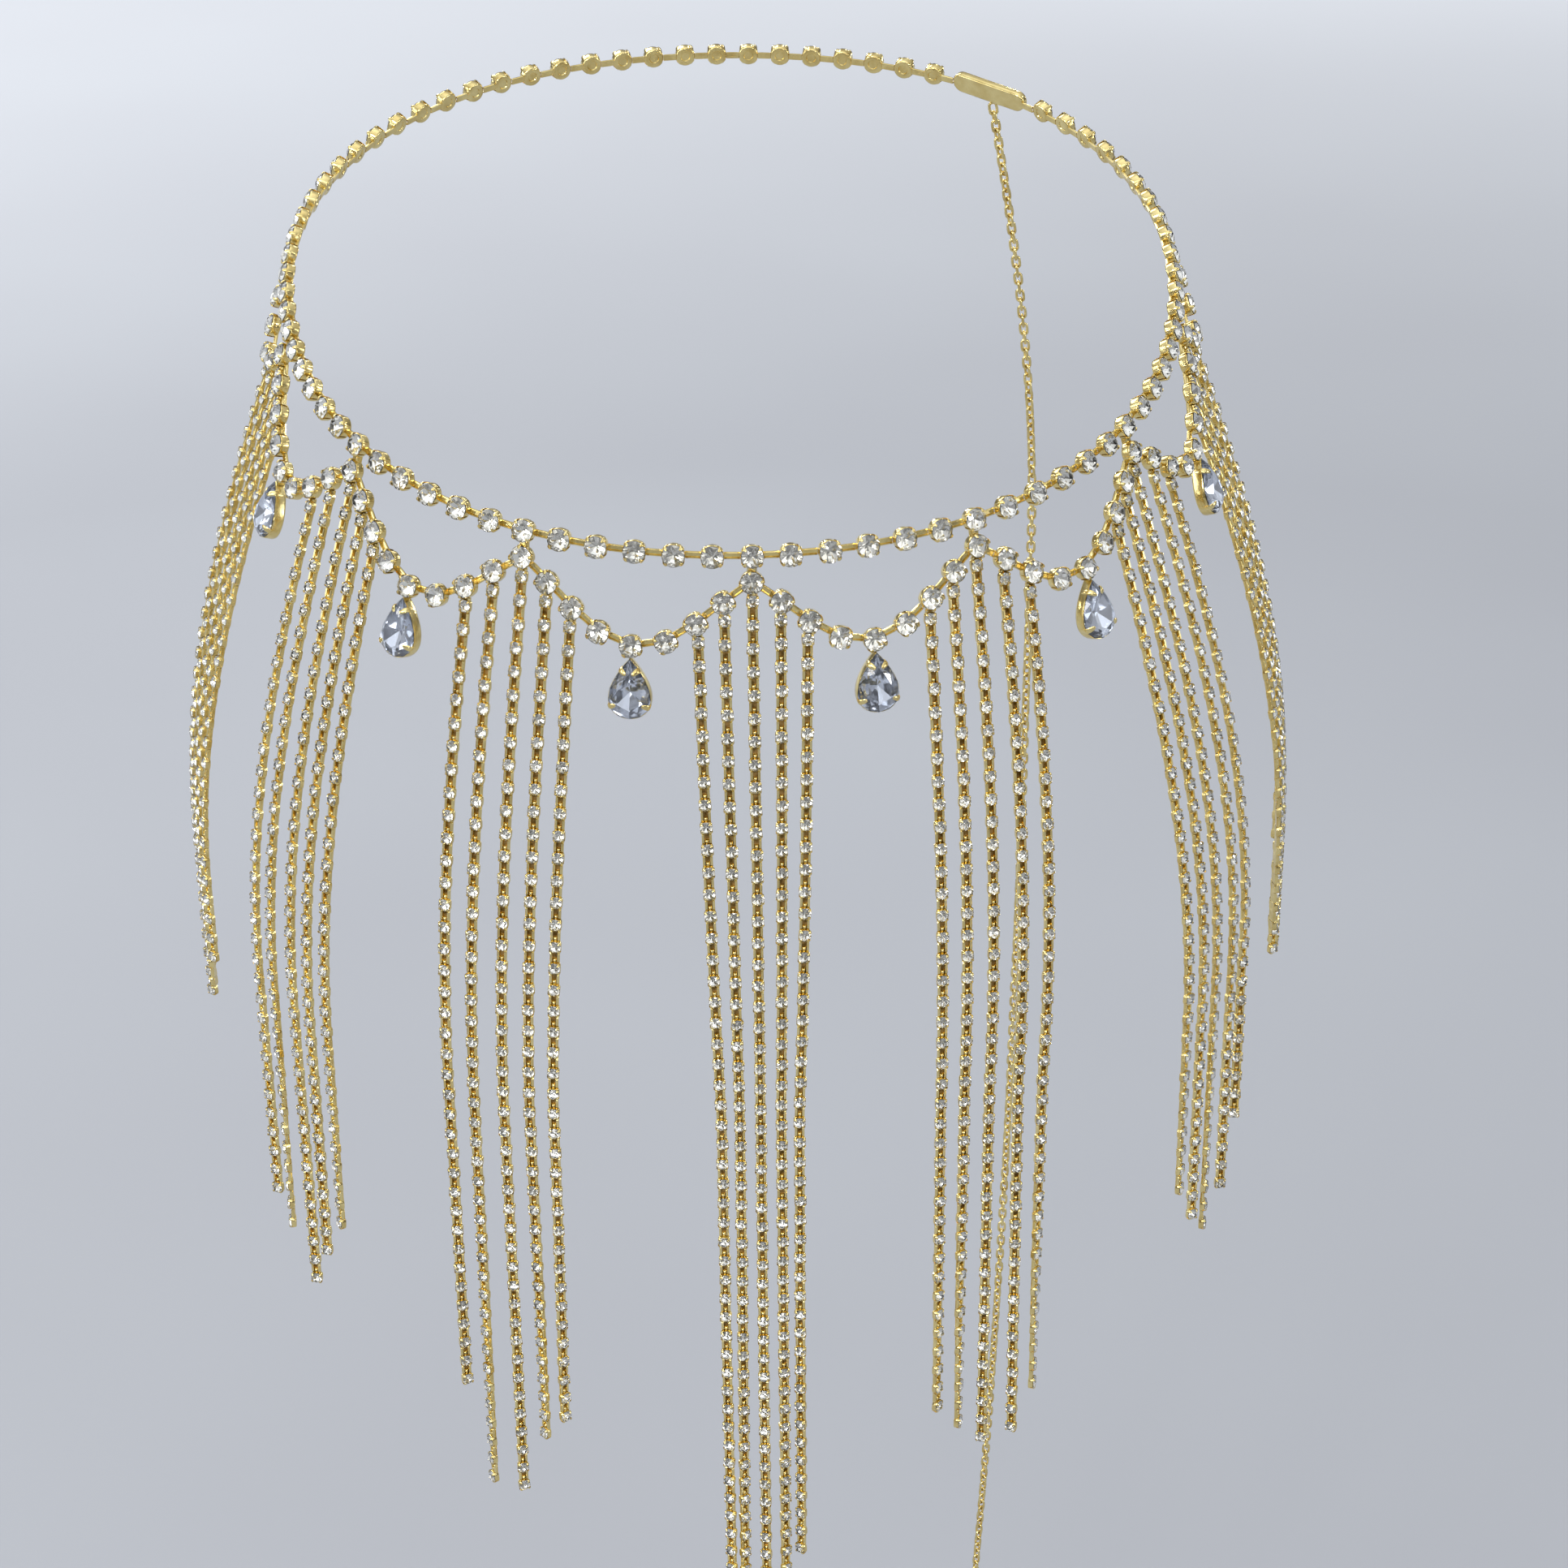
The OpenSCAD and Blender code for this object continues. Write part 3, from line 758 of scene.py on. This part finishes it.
def clasp():
    """One plain oval across the gap in the belt, and the bars that reach it."""
    start, end = (skin(belt_angle(k), 0.0) for k in (CLASP_STEPS - 1, CLASP_STEPS + 1))
    out = outward(belt_angle(CLASP_STEPS), 0.0)
    length, n = float(np.linalg.norm(end - start)), 12

    def oval(r):
        left = [math.pi / 2 + math.pi * i / n for i in range(n + 1)]
        right = [-math.pi / 2 + math.pi * i / n for i in range(n + 1)]
        return ([(r * math.cos(t), r * math.sin(t)) for t in left]
                + [(length + r * math.cos(t), r * math.sin(t)) for t in right])

    # (radius of the ends, height) from the back to the crown
    levels = [(2.5, 0), (2.8, 0.2), (2.9, 0.8), (2.88, 1.9), (2.6, 2.4), (2.0, 2.66), (1.2, 2.78)]
    body = Shape().loft([[(x, y, z) for x, y in oval(r)] for r, z in levels], GOLD, True)
    sets = [(body, frames(start, end - start, out), None)]
    before, after = (skin(belt_angle(k), 0.0) for k in (CLASP_STEPS - 2, CLASP_STEPS + 2))
    for pair in ((before, start), (end, after)):
        sets.append(some_bars(np.array(pair), np.array([out, out]), slice(0, 1)))
    build("clasp_oval", sets, CHAIN, ["clasp"])


def tail_angle(d):
    return belt_angle(CLASP_STEPS) + turn(TAIL_SWAY) * (d / TAIL_L) ** 3


def tail():
    """The plain chain of oval links that hangs from the clasp."""
    fine = np.linspace(CUP_D / 2 + HANG_GAP, TAIL_L, 400)
    run = runs(skin(tail_angle(fine), fine))
    count = int((run[-1] - LINK_L) / (LINK_L - 2 * LINK_WIRE - LINK_PLAY)) + 1
    number = np.arange(count)
    d = np.interp(LINK_L / 2 + (run[-1] - LINK_L) * number / (count - 1), run, fine)
    a = tail_angle(d)
    upward = skin(tail_angle(d - 1), d - 1) - skin(tail_angle(d + 1), d + 1)
    rotations, points = frames(skin(a, d) + outward(a, d) * STRAND_T / 2, upward, outward(a, d))
    # Links lie across each other, and the chain turns slowly about itself.
    turns = LINK_CROSS * (-1.0) ** number + TAIL_TURN * np.sin(number * TAIL_TURN_STEP)
    rotations = rotations @ axis_turn(X, turns)
    build("tail", [(oval_link(LINK_L, LINK_W, LINK_WIRE), (rotations, points), None)], CHAIN,
          ["tail_chain"])


# Floor, lamps, room and camera
FLOOR_Z = -0.64
FLOOR_SIZE = 80
PAINTED_LIGHT_FROM, PAINTED_LIGHT_FULL_FROM = 1.6, 5.0  # distances from the middle between which the floor's colour turns lighter: painted light where the lamps no longer reach
CHAIN_MIDDLE = (0, 0, -0.15)
WHITE, WARM, COOL, COOLER = (1, 1, 1), (1.0, 0.98, 0.95), (0.97, 0.985, 1.0), (0.95, 0.97, 1.0)
# Name, place, size, watts, colour, and the point that the lamp is aimed at
LAMPS = [("key", (-0.9, -1.3, 1.1), 0.5, 10, WARM, CHAIN_MIDDLE),
         ("panel_front", (0.1, -1.9, 1.0), 1.4, 4, WHITE, CHAIN_MIDDLE),
         ("front_floor", (0.1, -1.7, 1.5), 1.2, 4, WHITE, (0.1, -1.7, FLOOR_Z)),
         ("panel_left", (-1.7, -0.5, 0.5), 0.9, 6, COOLER, CHAIN_MIDDLE),
         ("panel_right", (1.7, -0.7, 0.3), 0.8, 4, COOLER, CHAIN_MIDDLE),
         ("back", (-1.5, 2.4, 1.7), 2.2, 60, COOL, (-1.5, 2.7, FLOOR_Z)),
         ("back_right", (1.5, 4.3, 1.2), 1.2, 22, COOL, (1.4, 4.3, FLOOR_Z))]
# Small lamps all round, low and high in turn, whose glints make the stones sparkle
SPARKS = 12
SPARK_RADIUS = 1.6
SPARK_HEIGHTS = (0.2, 0.95)
SPARK_START = 0.35  # of a step, so that none stands straight in front
SPARK_SIZE = 0.1
SPARK_WATTS = 1.1

# The photograph's view: the frame's width and the focal length in pixels, how far
# the camera looks down, turns and leans in degrees, where it looks and from how far
IMAGE_PIXELS = 1932
FOCAL_PIXELS = 4000
LOOK_DOWN, LOOK_RIGHT, LEAN = 25.6, 2.6, -0.5
LOOK_AT = Vector((0.0128, 0, -0.154))
DISTANCE = 0.925


def lay_floor():
    """Pale mottled paper whose colour turns lighter far away, painted light for the far floor that the
    lamps don't reach, so that low views end in a pale room too.
    """
    bpy.ops.mesh.primitive_plane_add(size=FLOOR_SIZE, location=(0, 0, FLOOR_Z))
    floor = bpy.context.object
    floor.name = "floor"
    material, tree, shader = new_material("floor_paper")
    near = color_ramp(tree, noise(tree, 1.3), [(0.3, (0.345, 0.355, 0.385)), (0.7, (0.375, 0.39, 0.42))])
    reach = tree.nodes.new("ShaderNodeVectorMath")
    reach.operation = "LENGTH"
    fill(reach, {0: tree.nodes.new("ShaderNodeTexCoord").outputs["Object"]})
    # Painted light: the far floor's colour is lighter, standing in for lamplight that doesn't reach it.
    far_painted_light = tree.nodes.new("ShaderNodeMixRGB")
    fill(far_painted_light, {"Fac": mapped(tree, reach.outputs["Value"], PAINTED_LIGHT_FROM, PAINTED_LIGHT_FULL_FROM), "Color1": near,
                 "Color2": (0.73, 0.75, 0.79, 1)})
    fill(shader, {"Roughness": 0.9, "Base Color": far_painted_light.outputs["Color"]})
    floor.data.materials.append(material)


def add_lamp(name, at, size, watts, color, aim):
    light = bpy.data.lights.new(name, "AREA")
    light.energy = watts
    light.size = size
    light.color = color
    lamp = bpy.data.objects.new(name, light)
    lamp.location = at
    lamp.rotation_euler = (Vector(aim) - Vector(at)).to_track_quat("-Z", "Y").to_euler()
    lamp.visible_camera = False
    bpy.context.scene.collection.objects.link(lamp)


def add_sparks():
    for i in range(SPARKS):
        a = 2 * math.pi * (i + SPARK_START) / SPARKS
        at = (SPARK_RADIUS * math.sin(a), -SPARK_RADIUS * math.cos(a), SPARK_HEIGHTS[i % 2])
        add_lamp(f"spark_{i}", at, SPARK_SIZE, SPARK_WATTS, WHITE, CHAIN_MIDDLE)


def add_room():
    """A room dark at the height of the eye and bright overhead, which keeps the metal's contrast.

    The camera sees it as pale as the floor.
    """
    world = bpy.data.worlds.new("room")
    bpy.context.scene.world = world
    world.use_nodes = True
    tree = world.node_tree
    split = tree.nodes.new("ShaderNodeSeparateXYZ")
    fill(split, {"Vector": tree.nodes.new("ShaderNodeTexCoord").outputs["Generated"]})
    greys = [(height, (shade * 0.97, shade * 0.98, shade)) for height, shade in
             ((0.3, 0.16), (0.55, 0.34), (0.82, 0.5))]
    stops = [(0.0, (0.10, 0.10, 0.105)), *greys, (1.0, (0.93, 0.96, 1.0))]
    lit = fill(tree.nodes["Background"], {"Color": color_ramp(tree, split.outputs["Z"], stops),
                                          "Strength": 1.5})
    seen = fill(tree.nodes.new("ShaderNodeBackground"), {"Color": (0.85, 0.90, 1.0, 1), "Strength": 0.56})
    mix = fill(tree.nodes.new("ShaderNodeMixShader"),
               {"Fac": tree.nodes.new("ShaderNodeLightPath").outputs["Is Camera Ray"],
                1: lit.outputs["Background"], 2: seen.outputs["Background"]})
    fill(tree.nodes["World Output"], {"Surface": mix.outputs["Shader"]})


def add_camera():
    tilt, yaw, roll = (math.radians(x) for x in (LOOK_DOWN, LOOK_RIGHT, LEAN))
    ahead = Vector((math.sin(yaw) * math.cos(tilt), math.cos(yaw) * math.cos(tilt), -math.sin(tilt)))
    right = Vector((math.cos(yaw), -math.sin(yaw), 0))
    up = right.cross(ahead)
    axes = (right * math.cos(roll) + up * math.sin(roll), up * math.cos(roll) - right * math.sin(roll),
            -ahead)
    camera = bpy.data.cameras.new("camera")
    camera.sensor_width = 36.0
    camera.lens = FOCAL_PIXELS / IMAGE_PIXELS * camera.sensor_width
    camera.clip_start = 0.01
    camera.clip_end = 50
    eye = bpy.data.objects.new("camera", camera)
    place = Matrix(axes).transposed().to_4x4()
    place.translation = LOOK_AT - DISTANCE * ahead
    eye.matrix_world = place
    bpy.context.scene.collection.objects.link(eye)
    bpy.context.scene.camera = eye


belt()
pear_drops(swags())
fringe()
clasp()
tail()
bpy.context.scene.view_settings.view_transform = "Standard"
lay_floor()
for lamp in LAMPS:
    add_lamp(*lamp)
add_sparks()
add_room()
add_camera()

bpy.context.view_layer.update()
